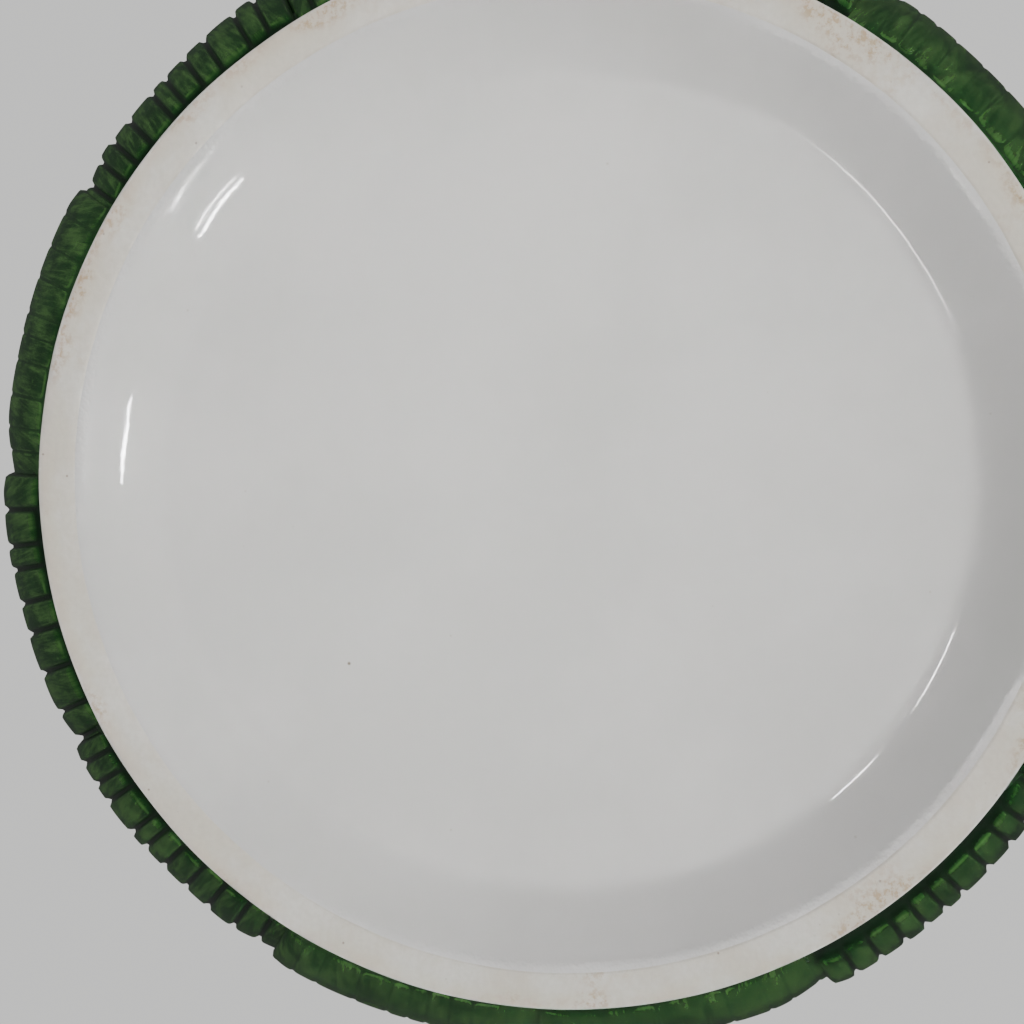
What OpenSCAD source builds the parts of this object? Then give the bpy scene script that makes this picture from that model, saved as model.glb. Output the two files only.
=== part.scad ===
// Leaf-clad round soup tureen: bowl on a dry foot, lift-off lid and a ladle that stands in the lid's notch.
// Millimetres, +Z up. The origin is the centre of the foot's resting plane, and the handles lie along X.

/* [Foot] */
// Outer diameter of the foot where it meets the table
foot_d = 184; // [170:1:200]
// Width of the flat resting band
foot_band_w = 7; // [5:0.5:10]
// Height of the foot below the leaf cladding
foot_h = 5; // [4:0.5:8]
// Height of the underside of the base above the table
base_recess = 9; // [7:0.5:13]
// Width of the soft cove between the base and the foot
cove_w = 13; // [8:1:20]

/* [Bowl] */
// Widest diameter of the body, over the leaves
belly_d = 254; // [212:1:310]
// Height of the widest point
belly_z = 68; // [50:1:90]
// Height of the bowl to the top of its rim
bowl_h = 128; // [105:1:156]
// Outer diameter of the rim
rim_d = 232; // [190:1:250]
// Height of the plain rim above the cladding
rim_h = 8; // [6:1:12]
// Width of the rim's top face
rim_w = 10; // [8:1:14]
// Wall thickness of the bowl
wall_t = 6; // [4:0.5:8]
// Thickness of the base
base_t = 6; // [5:0.5:9]

/* [Leaves on the bowl] */
// Number of leaves round the bowl
leaf_count = 12; // [8:1:16]
// Thickness of a leaf
leaf_t = 4; // [3:0.5:6]
// Height of the smooth band under the leaf stalks
collar_h = 3; // [2:0.5:10]
// Distance of the leaf tips below the rim
leaf_tip_gap = 10; // [4:1:16]
// Height of a leaf's pointed arch
leaf_arch_h = 36; // [20:1:40]

/* [Handles] */
// Diameter of the handle's rod
handle_rod_d = 13; // [10:0.5:16]
// Radius of the handle's bend, at the middle of the rod
handle_bend_r = 26; // [22:1:32]
// Clear space between the widest part of the bowl and the inside of the bend
handle_gap = 22; // [18:1:30]
// Distance of the handles' middle below the top of the bowl
handle_drop = 33; // [24:1:45]

/* [Lid] */
// Gap left between the rim and the lid
seat_gap = 0.3; // [0.2:0.1:0.8]
// Thickness of the lid's brim
brim_t = 4; // [3:0.5:6]
// Width of the brim outside the dome's leaves
brim_w = 6; // [3:0.5:14]
// Height of the dome above the seat, over its leaves
dome_h = 46; // [36:1:60]
// Wall thickness of the lid
lid_t = 5; // [4:0.5:7]
// Depth of the locating flange inside the rim
flange_h = 8; // [5:1:12]
// Thickness of the locating flange
flange_t = 3.5; // [3:0.5:5]
// Clearance between the flange and the inside of the rim
flange_gap = 1.2; // [0.8:0.1:2]
// Number of leaves on the lid
lid_leaf_count = 8; // [6:1:12]
// Thickness of a lid leaf
lid_leaf_t = 3; // [2:0.5:4]

/* [Knob] */
// Diameter of the bud
bud_d = 36; // [28:1:44]
// Height of the bud above its collar
bud_h = 34; // [26:1:44]
// Diameter of the collar under the bud
collar_d = 44; // [36:1:52]
// Height of the collar above the dome
knob_collar_h = 7; // [5:1:10]

/* [Ladle] */
// Outer diameter of the ladle's cup
cup_d = 66; // [56:1:76]
// Wall thickness of the cup
cup_t = 3.5; // [3:0.5:5]
// Diameter of the ladle's shaft
shaft_d = 10; // [8:0.5:12]
// Length of the shaft from the cup's rim to the grip
shaft_l = 150; // [130:1:156]
// Length of the grip
grip_l = 42; // [34:1:44]
// Diameter of the grip
grip_d = 16; // [14:1:18]
// Lean of the ladle from upright, in degrees
ladle_lean = 32; // [29:0.5:34]
// Clearance between the shaft and the rim, and between the shaft and the lid's notch
shaft_gap = 3; // [2:0.5:5]
// Clearance between the cup and the floor of the bowl
cup_gap = 0.3; // [0.2:0.1:1]

/* [Hidden] */
$fn = 96;
foot_r = foot_d / 2;
belly_r = belly_d / 2;
rim_r = rim_d / 2;
foot_in_r = foot_r - foot_band_w;
foot_edge = 0.8;
foot_step = 1;
cove_lip = 1.5;
floor_z = base_recess + base_t;
floor_fillet_w = 16;
floor_fillet_h = 10;
rim_z = bowl_h - rim_h;
rim_in_r = rim_r - rim_w;
rim_edge = 2.5;
brim_edge = 1;
collar_z = foot_h + collar_h;
leaf_shoulder_z = rim_z - leaf_tip_gap - leaf_arch_h;
leaf_angle = 360 / leaf_count;
// How far a leaf's outline runs past its sector, so that only the arch trims it
leaf_margin = 1;
leaf_half_w = belly_r * sin(leaf_angle / 2) + leaf_margin;
leaf_arc_r = (pow(leaf_arch_h, 2) + pow(leaf_half_w, 2)) / (2 * leaf_half_w);
handle_r = handle_rod_d / 2;
handle_z = bowl_h - handle_drop;
handle_bend_x = belly_r + handle_gap + handle_r - handle_bend_r;
seat_z = bowl_h + seat_gap;
dome_r = rim_r - brim_w;
shell_dome_r = dome_r - lid_leaf_t;
shell_dome_h = dome_h - lid_leaf_t;
flange_r = rim_in_r - flange_gap;
lid_leaf_angle = 360 / lid_leaf_count;
// The same for a leaf on the lid
lid_leaf_margin = 1.5;
collar_r = collar_d / 2;
neck_r = bud_d / 4;
collar_top_z = seat_z + dome_h + knob_collar_h;
shaft_r = shaft_d / 2;
cup_r = cup_d / 2;
cup_z = floor_z + cup_gap + cup_r;
shaft_rim_x = rim_in_r - shaft_gap - shaft_r / cos(ladle_lean);
cup_x = shaft_rim_x - (bowl_h - cup_z) * tan(ladle_lean) - cup_r;
shaft_root = cup_r * sin(ladle_lean);
notch_r = shaft_r + shaft_gap;
notch_x = shaft_rim_x - shaft_r / cos(ladle_lean) - shaft_gap + notch_r;
// Steps along a curved side, and along the small cap under the knob
curve_steps = 8;
cap_steps = 3;
// Least distance between neighbouring points of a profile
point_gap = 1;
// Longer than any piece that it cuts
reach = 400;

function two_digits(i) = str(i < 10 ? "0" : "", i);
function wall_leaf_name(i) = str("wall_leaf_", two_digits(i));
function lid_leaf_name(i) = str("lid_leaf_", two_digits(i));

// Radius of the body over its leaves: a flaring curve below the belly and a flatter one above it.
function body_r(z) =
    z < belly_z
        ? belly_r - (belly_r - foot_r - foot_step) * pow((belly_z - z) / (belly_z - foot_h), 2)
        : belly_r - (belly_r - rim_r) * pow((z - belly_z) / (bowl_h - belly_z), 2);

// Heights at which every piece of the body has a point, so that their faces meet.
body_levels = concat(
    [foot_h],
    [for (i = [0:curve_steps]) collar_z + (belly_z - collar_z) * i / curve_steps],
    [for (i = [1:curve_steps]) belly_z + (rim_z - belly_z) * i / curve_steps],
    [bowl_h]
);

// Points up the body from z0 to z1, moved in by inset.
function body_curve(z0, z1, inset) = [for (z = body_levels) if (z >= z0 && z <= z1) [body_r(z) - inset, z]];

function reversed(points) = [for (i = [len(points) - 1:-1:0]) points[i]];

// Points of an ellipse about (0, seat_z), from angle a0 to a1.
function dome_curve(r, h, a0, a1, steps) =
    [for (i = [0:steps]) let (a = a0 + (a1 - a0) * i / steps) [r * cos(a), seat_z + h * sin(a)]];

// The side of the dome, from the top of the brim up to the knob's collar.
function dome_side(r, h) = dome_curve(r, h, asin(brim_t / h), acos(collar_r / r), curve_steps);

// The top of the dome under the knob's collar.
function dome_cap(r, h) = dome_curve(r, h, acos(collar_r / r), 90, cap_steps);

module white_glaze() {
    color("ghostwhite")
        children();
}

module green_glaze() {
    color("forestgreen")
        children();
}

// The wall of the vessel, with the fillet where it meets the floor.
module bowl_wall() {
    inset = leaf_t + wall_t;
    fillet_top = floor_z + floor_fillet_h;
    fillet_r = body_r(fillet_top) - inset;
    outer = body_curve(foot_h, rim_z, leaf_t);
    inner = reversed(body_curve(fillet_top + point_gap, rim_z, inset));
    fillet = [for (a = [90:-10:0]) [
        fillet_r - floor_fillet_w * (1 - sin(a)),
        floor_z + floor_fillet_h * (1 - cos(a))
    ]];
    white_glaze()
        rotate_extrude()
            polygon(concat(outer, inner, fillet, [[foot_in_r, floor_z], [foot_in_r, foot_h]]));
}

// The flat base, set up inside the foot.
module bowl_base() {
    white_glaze()
        translate([0, 0, base_recess])
            cylinder(h = base_t, r = foot_in_r);
}

// The soft cove under the base, down the inside of the foot.
module base_cove() {
    cove = [for (a = [0:10:90]) [
        foot_in_r - cove_w * (1 - sin(a)),
        cove_lip + (base_recess - cove_lip) * cos(a)
    ]];
    white_glaze()
        rotate_extrude()
            polygon(concat(cove, [[foot_in_r, base_recess]]));
}

// The dry ring that the tureen stands on.
module foot_ring() {
    color("wheat")
        rotate_extrude()
            polygon([
                [foot_in_r, 0],
                [foot_r - foot_edge, 0],
                [foot_r, foot_edge],
                [foot_r, foot_h],
                [foot_in_r, foot_h]
            ]);
}

// The smooth band between the foot and the leaf stalks.
module foot_collar() {
    green_glaze()
        rotate_extrude()
            polygon([
                [body_r(foot_h) - leaf_t, foot_h],
                [body_r(foot_h), foot_h],
                [body_r(collar_z), collar_z],
                [body_r(collar_z) - leaf_t, collar_z]
            ]);
}

// The plain lip that the lid rests on.
module bowl_rim() {
    white_glaze()
        rotate_extrude()
            polygon([
                [body_r(rim_z) - leaf_t - wall_t, rim_z],
                [body_r(rim_z) - leaf_t, rim_z],
                [rim_r, rim_z + rim_edge],
                [rim_r, bowl_h - rim_edge / 2],
                [rim_r - rim_edge / 2, bowl_h],
                [rim_in_r, bowl_h],
                [rim_in_r, rim_z + rim_edge]
            ]);
}

// Outline of a leaf seen from the side: straight flanks under a pointed arch.
module leaf_outline() {
    translate([-leaf_half_w, 0])
        square([2 * leaf_half_w, leaf_shoulder_z]);
    intersection() {
        translate([-leaf_half_w, leaf_shoulder_z])
            square([2 * leaf_half_w, leaf_arch_h + 1]);
        translate([leaf_arc_r - leaf_half_w, leaf_shoulder_z])
            circle(leaf_arc_r);
        translate([leaf_half_w - leaf_arc_r, leaf_shoulder_z])
            circle(leaf_arc_r);
    }
}

// One upright leaf: a sector of the cladding trimmed to the leaf's outline, and cut where a handle passes.
module wall_leaf(i) {
    outer = body_curve(collar_z, rim_z, 0);
    inner = reversed(body_curve(collar_z, rim_z, leaf_t));
    green_glaze()
        difference() {
            rotate([0, 0, leaf_angle * (i - 1)])
                intersection() {
                    rotate_extrude(angle = leaf_angle)
                        polygon(concat(outer, inner));
                    rotate([90, 0, 90 + leaf_angle / 2])
                        linear_extrude(reach)
                            leaf_outline();
                }
            handle_rod();
            mirror([1, 0, 0])
                handle_rod();
        }
}

// The space inside the outer face of the wall.
module wall_core() {
    rotate_extrude()
        polygon(concat([[0, foot_h]], body_curve(foot_h, bowl_h, leaf_t), [[0, bowl_h]]));
}

// The bent rod of a handle that lies flat, with both ends run on into the bowl.
module handle_rod() {
    translate([handle_bend_x, 0, handle_z])
        rotate([0, 0, -90])
            rotate_extrude(angle = 180)
                translate([handle_bend_r, 0])
                    circle(handle_r);
    for (side = [-1, 1])
        translate([0, side * handle_bend_r, handle_z])
            rotate([0, 90, 0])
                cylinder(h = handle_bend_x, r = handle_r);
}

// A loop handle, luted to the wall between the leaves.
module handle_right() {
    green_glaze()
        difference() {
            handle_rod();
            wall_core();
        }
}

module handle_left() {
    mirror([1, 0, 0])
        handle_right();
}

// The cut-out in the lid's edge that the ladle's shaft passes through.
module ladle_notch() {
    translate([notch_x, 0, 0])
        cylinder(h = reach, r = notch_r);
    translate([notch_x, -notch_r, 0])
        cube([reach, 2 * notch_r, reach]);
}

// The dome and its flat brim.
module lid_shell() {
    brim = [
        [rim_r - brim_edge, seat_z],
        [rim_r, seat_z + brim_edge],
        [rim_r, seat_z + brim_t - brim_edge],
        [rim_r - brim_edge, seat_z + brim_t]
    ];
    side = dome_side(shell_dome_r, shell_dome_h);
    cap = [for (p = dome_cap(shell_dome_r, shell_dome_h)) if (p[0] < collar_r - point_gap) p];
    inner = dome_curve(shell_dome_r - lid_t, shell_dome_h - lid_t, 90, 0, curve_steps);
    white_glaze()
        difference() {
            rotate_extrude()
                polygon(concat(brim, side, cap, inner));
            ladle_notch();
        }
}

// The ring under the brim that keeps the lid centred in the rim.
module lid_flange() {
    white_glaze()
        difference() {
            translate([0, 0, seat_z - flange_h])
                difference() {
                    cylinder(h = flange_h, r = flange_r);
                    translate([0, 0, -1])
                        cylinder(h = flange_h + 2, r = flange_r - flange_t);
                }
            ladle_notch();
        }
}

// One leaf on the lid, running from the knob down to the brim.
module lid_leaf(i) {
    outer = dome_side(dome_r, dome_h);
    inner = reversed(dome_side(shell_dome_r, shell_dome_h));
    tip_r = dome_r * sin(lid_leaf_angle / 2) + lid_leaf_margin;
    green_glaze()
        difference() {
            rotate([0, 0, lid_leaf_angle * (i - 1)])
                intersection() {
                    rotate_extrude(angle = lid_leaf_angle)
                        polygon(concat(outer, inner));
                    rotate([0, 0, lid_leaf_angle / 2])
                        union() {
                            translate([dome_r - tip_r, 0, 0])
                                cylinder(h = reach, r = tip_r);
                            translate([0, -tip_r, 0])
                                cube([dome_r - tip_r, 2 * tip_r, reach]);
                        }
                }
            ladle_notch();
        }
}

// The disc that the bud grows from, hollowed to sit on the dome.
module knob_collar() {
    green_glaze()
        rotate_extrude()
            polygon(concat(
                dome_cap(shell_dome_r, shell_dome_h),
                [[0, collar_top_z], [neck_r, collar_top_z], [collar_r, seat_z + dome_h]]
            ));
}

// A closed bud with a slightly pointed top.
module knob_bud() {
    widest_z = collar_top_z + 0.45 * bud_h;
    side = [for (a = [-60:15:75]) [bud_d / 2 * cos(a), widest_z + bud_h / 2 * sin(a)]];
    green_glaze()
        rotate_extrude()
            polygon(concat([[0, collar_top_z], [neck_r, collar_top_z]], side, [[0, collar_top_z + bud_h]]));
}

// Places its children on the ladle's axis, with Z running up the shaft from the cup's rim.
module on_ladle_axis() {
    translate([cup_x + cup_r, 0, cup_z])
        rotate([0, ladle_lean, 0])
            children();
}

// The round cup, open at its own equator.
module ladle_cup() {
    white_glaze()
        translate([cup_x, 0, cup_z])
            difference() {
                sphere(cup_r);
                sphere(cup_r - cup_t);
                translate([-cup_d, -cup_d, 0])
                    cube(2 * cup_d);
            }
}

// The straight shaft, whose root is dished to the side of the cup.
module ladle_shaft() {
    green_glaze()
        difference() {
            on_ladle_axis()
                translate([0, 0, -shaft_root])
                    cylinder(h = shaft_l + shaft_root, r = shaft_r);
            translate([cup_x, 0, cup_z])
                sphere(cup_r);
        }
}

// The thicker end that is held in the hand.
module ladle_grip() {
    grip_r = grip_d / 2;
    swell_l = 0.6 * grip_l;
    end_l = grip_l - swell_l;
    swell = [for (a = [0:15:90]) [shaft_r + (grip_r - shaft_r) * sin(a), swell_l * a / 90]];
    end = [for (a = [15:15:75]) [grip_r * cos(a), swell_l + end_l * sin(a)]];
    green_glaze()
        on_ladle_axis()
            translate([0, 0, shaft_l])
                rotate_extrude()
                    polygon(concat([[0, 0]], swell, end, [[0, grip_l]]));
}

bowl_wall();
bowl_base();
base_cove();
foot_ring();
foot_collar();
bowl_rim();
handle_left();
handle_right();
for (i = [1:leaf_count])
    wall_leaf(i);
lid_shell();
lid_flange();
knob_collar();
knob_bud();
for (i = [1:lid_leaf_count])
    lid_leaf(i);
ladle_cup();
ladle_shaft();
ladle_grip();
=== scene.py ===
"""Leaf-clad soup tureen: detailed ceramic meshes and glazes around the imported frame. Metres, +Z up."""

import math

import bmesh
import bpy
import numpy as np
from mathutils import Matrix, Vector


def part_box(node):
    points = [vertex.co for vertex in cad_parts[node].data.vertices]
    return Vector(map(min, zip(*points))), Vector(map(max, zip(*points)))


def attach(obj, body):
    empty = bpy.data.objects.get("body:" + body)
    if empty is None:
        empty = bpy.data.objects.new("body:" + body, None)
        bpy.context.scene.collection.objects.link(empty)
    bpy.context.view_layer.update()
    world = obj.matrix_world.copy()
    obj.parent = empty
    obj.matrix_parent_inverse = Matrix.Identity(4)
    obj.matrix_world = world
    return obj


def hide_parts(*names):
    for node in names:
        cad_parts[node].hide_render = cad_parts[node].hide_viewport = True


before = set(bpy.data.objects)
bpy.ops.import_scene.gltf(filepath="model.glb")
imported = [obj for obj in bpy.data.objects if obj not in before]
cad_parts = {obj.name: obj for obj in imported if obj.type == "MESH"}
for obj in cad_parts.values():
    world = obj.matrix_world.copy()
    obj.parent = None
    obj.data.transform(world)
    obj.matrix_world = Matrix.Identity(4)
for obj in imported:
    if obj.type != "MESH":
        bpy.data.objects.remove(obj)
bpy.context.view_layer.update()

MM = 0.001
AXIS_R = 0.5 * MM  # how near to the axis an open profile ends


# ---------------------------------------------------------------- sizes
# Read from the frame's boxes; thicknesses, heights and angles that no box gives are the CAD source's.
def top(node):
    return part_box(node)[1]


def bottom(node):
    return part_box(node)[0]


FOOT_R = top("foot_ring")[0]
FOOT_H = top("foot_ring")[2]
BASE_Z = bottom("bowl_base")[2]
FOOT_IN_R = top("bowl_base")[0]
FLOOR_Z = top("bowl_base")[2]
COLLAR_Z = top("foot_collar")[2]
BELLY_R = top("wall_leaf_04")[1]
BELLY_Z = 68 * MM
LEAF_T = BELLY_R - top("bowl_wall")[0]
WALL_T = 6 * MM
RIM_R = top("bowl_rim")[0]
RIM_Z = bottom("bowl_rim")[2]
BOWL_H = top("bowl_rim")[2]
RIM_IN_R = RIM_R - 10 * MM
LEAF_TIP_Z = top("wall_leaf_02")[2]
LEAF_ARCH_H = 36 * MM
LEAVES = sum(name.startswith("wall_leaf_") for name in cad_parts)
LID_LEAVES = sum(name.startswith("lid_leaf_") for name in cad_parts)
HANDLE_Z = (bottom("handle_right")[2] + top("handle_right")[2]) / 2
HANDLE_ROD_R = (top("handle_right")[2] - bottom("handle_right")[2]) / 2
HANDLE_BEND_R = top("handle_right")[1] - HANDLE_ROD_R
HANDLE_BEND_X = top("handle_right")[0] - HANDLE_ROD_R - HANDLE_BEND_R
SEAT_Z = bottom("lid_shell")[2]
BRIM_T = 4 * MM
LID_T = 5 * MM
LID_LEAF_T = 3 * MM
SHELL_DOME_H = top("lid_shell")[2] - SEAT_Z
SHELL_DOME_R = RIM_R - 6 * MM - LID_LEAF_T
FLANGE_R = top("lid_flange")[1]
FLANGE_T = 3.5 * MM
KNOB_R = top("knob_collar")[0]
KNOB_Z = top("knob_collar")[2]
BUD_R = top("knob_bud")[0]
BUD_TOP = top("knob_bud")[2]
CUP_R = (top("ladle_cup")[0] - bottom("ladle_cup")[0]) / 2
CUP_X = bottom("ladle_cup")[0] + CUP_R
CUP_Z = top("ladle_cup")[2]
CUP_T = 3.5 * MM
LADLE_LEAN = math.radians(32)
SHAFT_R = top("ladle_shaft")[1]
GRIP_R = top("ladle_grip")[1]
SHAFT_L = 150 * MM
GRIP_L = 42 * MM
NOTCH_R = SHAFT_R + 3 * MM
NOTCH_X = RIM_IN_R - 2 * SHAFT_R / math.cos(LADLE_LEAN) - 6 * MM + NOTCH_R


def body_r(z):
    """Radius of the body over its leaves: a flaring curve below the belly, a flatter one above it."""
    z = np.asarray(z, float)
    low = BELLY_R - (BELLY_R - FOOT_R - MM) * ((BELLY_Z - z) / (BELLY_Z - FOOT_H)) ** 2
    high = BELLY_R - (BELLY_R - RIM_R) * ((z - BELLY_Z) / (BOWL_H - BELLY_Z)) ** 2
    return np.where(z < BELLY_Z, low, high)


# ---------------------------------------------------------------- small maths
def smooth(a, b, x):
    """0 at a, 1 at b and smooth between them; a may be above b."""
    t = np.clip((np.asarray(x, float) - a) / (b - a), 0, 1)
    return t * t * (3 - 2 * t)


def mix(a, b, t):
    """a at t = 0, b at t = 1."""
    return a + (b - a) * t


def arc(cx, cz, rx, rz, a0, a1, steps):
    """Points (r, z) of an ellipse's arc, angles in degrees."""
    angles = np.radians(np.linspace(a0, a1, steps))
    return [(cx + rx * math.cos(a), cz + rz * math.sin(a)) for a in angles]


def line(p, q, steps):
    """Evenly spaced points (r, z) from p to q."""
    return [(mix(p[0], q[0], t), mix(p[1], q[1], t)) for t in np.linspace(0, 1, steps)]


def waves(rng, count, low, high):
    """A random function of an angle, within -1 to 1: count sines of low to high waves a turn."""
    orders = rng.integers(low, high + 1, count)
    phases = rng.uniform(0, 2 * math.pi, count)
    sizes = rng.uniform(0.4, 1.0, count)
    sizes /= sizes.sum()

    def value(angle):
        return sum(s * np.sin(n * angle + p) for n, p, s in zip(orders, phases, sizes))

    return value


# ---------------------------------------------------------------- mesh helpers
def face_outwards(mesh):
    work = bmesh.new()
    work.from_mesh(mesh)
    bmesh.ops.recalc_face_normals(work, faces=work.faces)
    work.to_mesh(mesh)
    work.free()


def add_object(name, points, faces, attributes=None, materials=(), closed=True):
    """A smooth-shaded object; the faces of a closed one are turned outwards."""
    mesh = bpy.data.meshes.new(name)
    mesh.from_pydata([tuple(p) for p in points], [], faces)
    for key, values in (attributes or {}).items():
        values = np.asarray(values, np.float32)
        kind = "FLOAT" if values.ndim == 1 else "FLOAT_VECTOR"
        layer = mesh.attributes.new(key, kind, "POINT")
        layer.data.foreach_set("value" if kind == "FLOAT" else "vector", values.ravel())
    for material in materials:
        mesh.materials.append(material)
    mesh.polygons.foreach_set("use_smooth", np.ones(len(mesh.polygons), bool))
    if closed:
        face_outwards(mesh)
    mesh.update()
    piece = bpy.data.objects.new(name, mesh)
    bpy.context.scene.collection.objects.link(piece)
    return piece


def grid_faces(rows, columns, wrap_rows=False, wrap_columns=False):
    """Four-sided faces over a grid of points that is stored row by row."""
    faces = []
    for i in range(rows if wrap_rows else rows - 1):
        row = i * columns
        next_row = (i + 1) % rows * columns
        for j in range(columns if wrap_columns else columns - 1):
            k = (j + 1) % columns
            faces.append((row + j, row + k, next_row + k, next_row + j))
    return faces


def end_caps(rows, columns):
    """Flat faces over the first and the last row of a grid whose columns wrap round."""
    last = (rows - 1) * columns
    return [tuple(reversed(range(columns))), tuple(range(last, last + columns))]


def lathe(name, profile, segments, material, move=None, closed=True):
    """Turns a profile of (r, z) about Z. A closed one wraps round, an open one gets a cap at each end.

    move(r, z, angle) shifts the points before they are turned."""
    profile = np.array(profile, float)
    angles = np.linspace(0, 2 * math.pi, segments, endpoint=False)
    r = np.repeat(profile[:, 0][:, None], segments, 1)
    z = np.repeat(profile[:, 1][:, None], segments, 1)
    a = np.repeat(angles[None, :], len(profile), 0)
    if move:
        r, z = move(r, z, a)
    points = np.stack([r * np.cos(a), r * np.sin(a), z], -1).reshape(-1, 3)
    faces = grid_faces(len(profile), segments, wrap_rows=closed, wrap_columns=True)
    if not closed:
        faces += end_caps(len(profile), segments)
    return add_object(name, points, faces, materials=[material])


def apply_modifiers(piece):
    depsgraph = bpy.context.evaluated_depsgraph_get()
    mesh = bpy.data.meshes.new_from_object(piece.evaluated_get(depsgraph))
    piece.modifiers.clear()
    piece.data = mesh


def cut_away(piece, cutter, crosses_itself=False):
    """Takes the cutter's shape out of a piece; the cutter is removed."""
    cut = piece.modifiers.new("cut", "BOOLEAN")
    cut.operation = "DIFFERENCE"
    cut.solver = "EXACT"
    cut.use_self = crosses_itself
    cut.object = cutter
    apply_modifiers(piece)
    bpy.data.objects.remove(cutter)


def cut_notch(piece, grow=0.0, round_edge=0.0):
    """Cuts the ladle's notch, wider by grow on each side, out of a piece of the lid."""
    r = NOTCH_R + grow
    far = RIM_R + 30 * MM
    low = SEAT_Z - 30 * MM
    high = SEAT_Z + 80 * MM
    outline = [(far, -r), (far, r)] + arc(NOTCH_X, 0, r, r, 90, 270, 33)
    n = len(outline)
    points = [(x, y, low) for x, y in outline] + [(x, y, high) for x, y in outline]
    faces = [tuple(reversed(range(n))), tuple(range(n, 2 * n))]
    faces += [(i, (i + 1) % n, n + (i + 1) % n, n + i) for i in range(n)]
    cut_away(piece, add_object("notch_cutter", points, faces), crosses_itself=True)
    if round_edge:
        bevel = piece.modifiers.new("edge", "BEVEL")
        bevel.width = round_edge
        bevel.segments = 3
        bevel.limit_method = "ANGLE"
        bevel.angle_limit = math.radians(50)
        apply_modifiers(piece)


def join(name, pieces):
    """One object out of several, materials kept."""
    with bpy.context.temp_override(active_object=pieces[0], selected_editable_objects=pieces):
        bpy.ops.object.join()
    pieces[0].name = name
    pieces[0].data.name = name
    return pieces[0]


# ---------------------------------------------------------------- materials
class Graph:
    """Builds a node material: most calls add nodes and return an output."""

    def __init__(self, name):
        self.material = bpy.data.materials.new(name)
        self.material.use_nodes = True
        self.tree = self.material.node_tree
        self.tree.nodes.clear()
        self.output = self.tree.nodes.new("ShaderNodeOutputMaterial")
        self.shader = self.tree.nodes.new("ShaderNodeBsdfPrincipled")
        self.tree.links.new(self.shader.outputs[0], self.output.inputs["Surface"])

    def node(self, kind, inputs=None, **settings):
        node = self.tree.nodes.new(kind)
        for key, value in settings.items():
            setattr(node, key, value)
        for key, value in (inputs or {}).items():
            self.put(node.inputs[key], value)
        return node

    def put(self, socket, value):
        if isinstance(value, bpy.types.NodeSocket):
            self.tree.links.new(value, socket)
        else:
            socket.default_value = value

    def cells(self, vector, scale):
        """A Voronoi texture: the distance to the nearest cell's middle and that cell's random colour."""
        inputs = {"Vector": vector, "Scale": scale, "Randomness": 1.0}
        return self.node("ShaderNodeTexVoronoi", inputs).outputs

    def set(self, **values):
        """Inputs of the shader; a colour, a number or another node's output."""
        for key, value in values.items():
            self.put(self.shader.inputs[key.replace("_", " ")], value)

    def place(self):
        return self.node("ShaderNodeTexCoord").outputs["Object"]

    def attribute(self, name, output="Fac"):
        return self.node("ShaderNodeAttribute", attribute_name=name).outputs[output]

    def scaled(self, vector, scale):
        return self.node("ShaderNodeVectorMath", {0: vector, 1: scale}, operation="MULTIPLY").outputs[0]

    def noise(self, vector, scale, detail=3.0, roughness=0.5, distortion=0.0):
        inputs = {"Vector": vector, "Scale": scale, "Detail": detail}
        inputs.update({"Roughness": roughness, "Distortion": distortion})
        return self.node("ShaderNodeTexNoise", inputs).outputs["Fac"]

    def math(self, operation, a, b=0.0):
        return self.node("ShaderNodeMath", {0: a, 1: b}, operation=operation).outputs[0]

    def product(self, *factors):
        result = factors[0]
        for factor in factors[1:]:
            result = self.math("MULTIPLY", result, factor)
        return result

    def band(self, value, low, high, out_low=0.0, out_high=1.0):
        """out_low at low, out_high at high, smooth between them."""
        inputs = {"Value": value, "From Min": low, "From Max": high, "To Min": out_low, "To Max": out_high}
        node = self.node("ShaderNodeMapRange", inputs, interpolation_type="SMOOTHSTEP")
        return node.outputs["Result"]

    def blend(self, amount, a, b, mode="MIX"):
        node = self.node("ShaderNodeMix", data_type="RGBA", blend_type=mode)
        self.put(node.inputs["Factor"], amount)
        colours = [s for s in node.inputs if s.type == "RGBA"]
        self.put(colours[0], a)
        self.put(colours[1], b)
        return [s for s in node.outputs if s.type == "RGBA"][0]

    def bump(self, height, strength, distance, normal=None):
        inputs = {"Height": height, "Strength": strength, "Distance": distance}
        if normal:
            inputs["Normal"] = normal
        return self.node("ShaderNodeBump", inputs).outputs["Normal"]

    def radius(self, vector):
        """Distance from the Z axis."""
        flat = self.scaled(vector, (1.0, 1.0, 0.0))
        return self.node("ShaderNodeVectorMath", {0: flat}, operation="LENGTH").outputs["Value"]

    def split(self, vector):
        return self.node("ShaderNodeSeparateXYZ", {0: vector}).outputs


def rgb(r, g, b):
    return (r, g, b, 1.0)


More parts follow.
